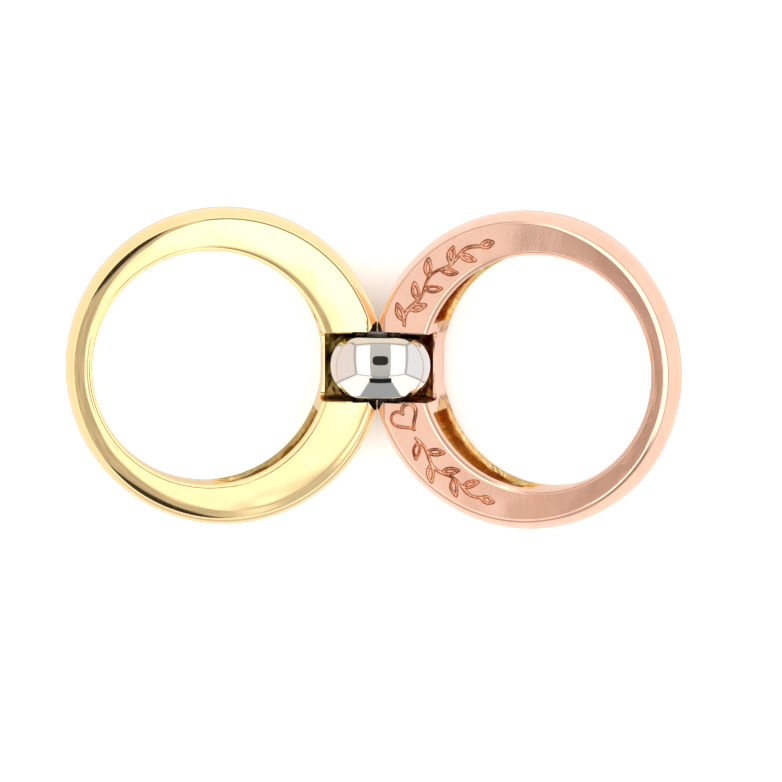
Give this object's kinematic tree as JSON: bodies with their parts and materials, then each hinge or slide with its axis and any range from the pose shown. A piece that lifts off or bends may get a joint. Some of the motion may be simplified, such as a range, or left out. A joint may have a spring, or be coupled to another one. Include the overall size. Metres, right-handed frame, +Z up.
{
  "type": "finger ring",
  "caption": "Hinged finger ring that opens like a book: domed yellow gold and rose gold bands with flat inner faces fold together on hidden pins through a white gold ball.",
  "frame": {"origin": "middle of the ring's footprint, on the surface it lies on when open, straight under the ball", "axes": "+X from the ball towards the rose gold band, +Y along the hinge pins, +Z up out of the flat faces"},
  "size_m": [0.0448, 0.023, 0.01],
  "materials": {
    "yellow_gold": "polished",
    "rose_gold": "polished",
    "white_gold": "polished",
    "pin_steel": "plain"
  },
  "bodies": {
    "hub": {"ball": "white_gold"},
    "yellow": {"yellow_band": "yellow_gold", "yellow_pin": "pin_steel"},
    "rose": {"rose_band": "rose_gold", "rose_pin": "pin_steel"}
  },
  "joints": [
    {"name": "yellow_hinge", "type": "hinge", "parent": "hub", "child": "yellow", "pos_m": [-0.00114, 0, 0.0051], "axis": [0, 1, 0], "range_deg": [0, 79.5]},
    {"name": "rose_hinge", "type": "hinge", "parent": "hub", "child": "rose", "pos_m": [0.00114, 0, 0.0051], "axis": [0, -1, 0], "range_deg": [0, 79.5]}
  ]
}
